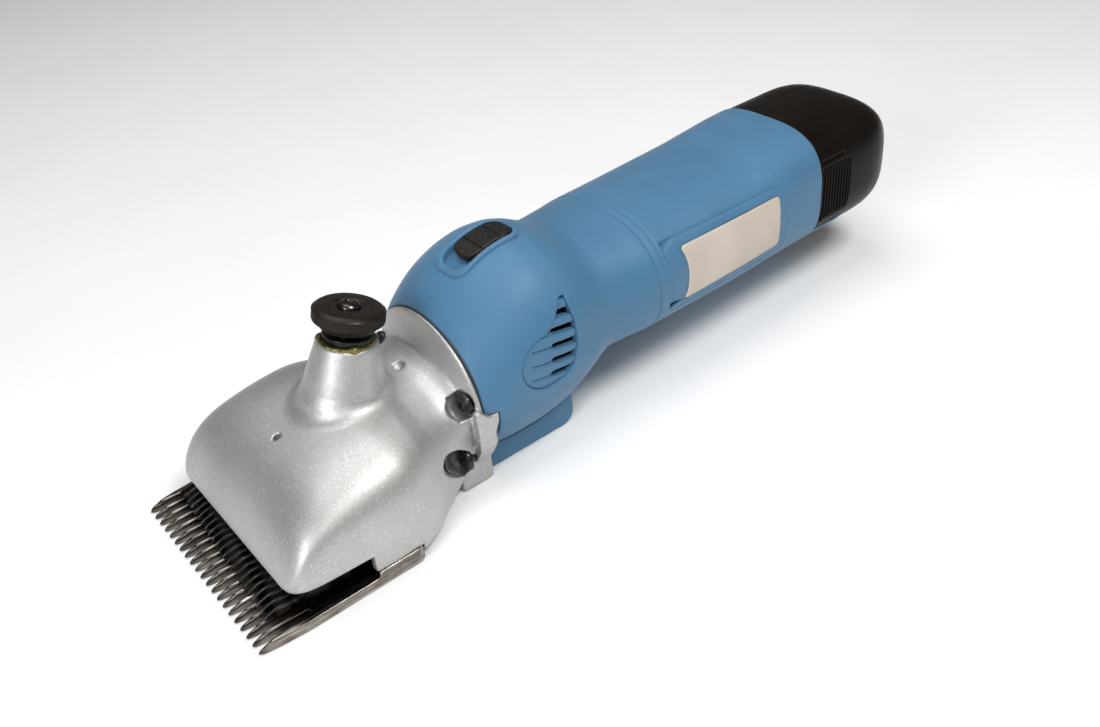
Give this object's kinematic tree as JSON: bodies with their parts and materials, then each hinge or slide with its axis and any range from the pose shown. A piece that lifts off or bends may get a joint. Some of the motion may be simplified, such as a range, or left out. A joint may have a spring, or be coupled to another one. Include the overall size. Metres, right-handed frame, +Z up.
{
  "type": "livestock clipper",
  "caption": "Cordless livestock clipper with a wide comb and cutter, cast head with tension knob, blue grip housing and slide-in battery pack.",
  "frame": {"origin": "on the rest plane, below the middle of the overall length and width", "axes": "+X from the comb towards the battery, +Z up, the plane y=0 splits the two housing halves"},
  "size_m": [0.287, 0.0794, 0.0685],
  "materials": {
    "blade_steel": "polished tool steel with dark tips",
    "cutter_steel": "dark oiled steel, ground grooves",
    "black_screw": "black oxide steel",
    "cast_silver": "silver sparkle paint on cast aluminium",
    "gasket": "black rubber",
    "machined_steel": "machined steel",
    "black_steel": "black oxide steel",
    "knob_black": "black oxide, knurled",
    "gear_plastic": "natural nylon",
    "brass": "brass",
    "bearing_steel": "ground bearing steel",
    "plate_metal": "die-cast aluminium",
    "dark_plastic": "dark moulded plastic",
    "laminations": "varnished steel laminations",
    "copper": "copper",
    "motor_steel": "plated steel can",
    "magnet": "ferrite",
    "carbon": "carbon",
    "blue_housing": "light blue soft-touch moulded plastic",
    "switch_black": "dark textured plastic",
    "board_green": "glass-epoxy board",
    "wire": "insulated wire",
    "label": "blank off-white label",
    "battery_black": "semi-gloss black moulded plastic",
    "cell_wrap": "shrink-wrapped cell"
  },
  "bodies": {
    "housing": {"comb": "blade_steel", "comb_screws": "black_screw", "head_casting": "cast_silver", "flange_screws": "black_screw", "flange_gasket": "gasket", "fork_post": "machined_steel", "tension_pin": "machined_steel", "tension_spring": "machined_steel", "tension_washer": "black_steel", "crank_bearing_front": "bearing_steel", "crank_bearing_rear": "bearing_steel", "gearbox_plate": "plate_metal", "gearbox_screws": "black_screw", "motor_can": "motor_steel", "motor_magnets": "magnet", "motor_bearing_front": "bearing_steel", "motor_bearing_rear": "bearing_steel", "motor_end_cap": "dark_plastic", "brushes": "carbon", "housing_left": "blue_housing", "housing_right": "blue_housing", "rest_foot": "blue_housing", "vent_grille_left": "blue_housing", "vent_grille_right": "blue_housing", "switch_body": "dark_plastic", "control_board": "board_green", "wiring": "wire", "contact_block": "dark_plastic", "contact_blades": "copper", "side_label": "label"},
    "fork": {"drive_fork": "machined_steel", "fork_fingers": "bearing_steel", "cutter": "cutter_steel"},
    "tension_sleeve": {"tension_sleeve": "black_steel"},
    "tension_nut": {"tension_nut": "knob_black"},
    "crank": {"crankshaft": "machined_steel", "crank_roller": "bearing_steel", "drive_gear": "gear_plastic"},
    "rotor": {"rotor_shaft": "machined_steel", "pinion": "brass", "fan": "dark_plastic", "rotor_core": "laminations", "commutator": "copper"},
    "switch": {"switch_slider": "switch_black"},
    "battery": {"battery_stem": "battery_black", "battery_case": "battery_black", "battery_cells": "cell_wrap", "battery_terminals": "copper", "button_springs": "machined_steel"},
    "button_left": {"release_button_left": "battery_black"},
    "button_right": {"release_button_right": "battery_black"}
  },
  "joints": [
    {"name": "fork_swing", "type": "hinge", "parent": "housing", "child": "fork", "pos_m": [-0.0905, 0, 0.0153], "axis": [0, 0, 1], "range_deg": [0, 7]},
    {"name": "sleeve_slide", "type": "slide", "parent": "housing", "child": "tension_sleeve", "axis": [0.2773, 0, 0.9608], "range_m": [-0.001, 0.001]},
    {"name": "nut_turn", "type": "hinge", "parent": "tension_sleeve", "child": "tension_nut", "pos_m": [-0.0788, 0, 0.0633], "axis": [0.2773, 0, 0.9608], "range_deg": [-363, 363]},
    {"name": "motor_spin", "type": "hinge", "parent": "housing", "child": "rotor", "pos_m": [-0.0095, 0, 0.0368], "axis": [1, 0, 0], "continuous": true},
    {"name": "crank_spin", "type": "hinge", "parent": "housing", "child": "crank", "pos_m": [-0.0555, 0, 0.0203], "axis": [1, 0, 0], "continuous": true},
    {"name": "switch_slide", "type": "hinge", "parent": "housing", "child": "switch", "pos_m": [-0.0255, 0, 0.0324], "axis": [0, -1, 0], "range_deg": [0, 7]},
    {"name": "pack_slide", "type": "slide", "parent": "housing", "child": "battery", "axis": [1, 0, 0], "range_m": [0, 0.045]},
    {"name": "button_left_press", "type": "slide", "parent": "battery", "child": "button_left", "axis": [0, -1, 0], "range_m": [0, 0.0012], "stiffness_N_per_m": 700, "springref_m": -0.002},
    {"name": "button_right_press", "type": "slide", "parent": "battery", "child": "button_right", "axis": [0, 1, 0], "range_m": [0, 0.0012], "stiffness_N_per_m": 700, "springref_m": -0.002}
  ],
  "couplings": [
    {"joint": "crank_spin", "follows": "motor_spin", "ratio": -0.29412},
    {"joint": "nut_turn", "follows": "sleeve_slide", "rad_per_m": 6283.2}
  ]
}
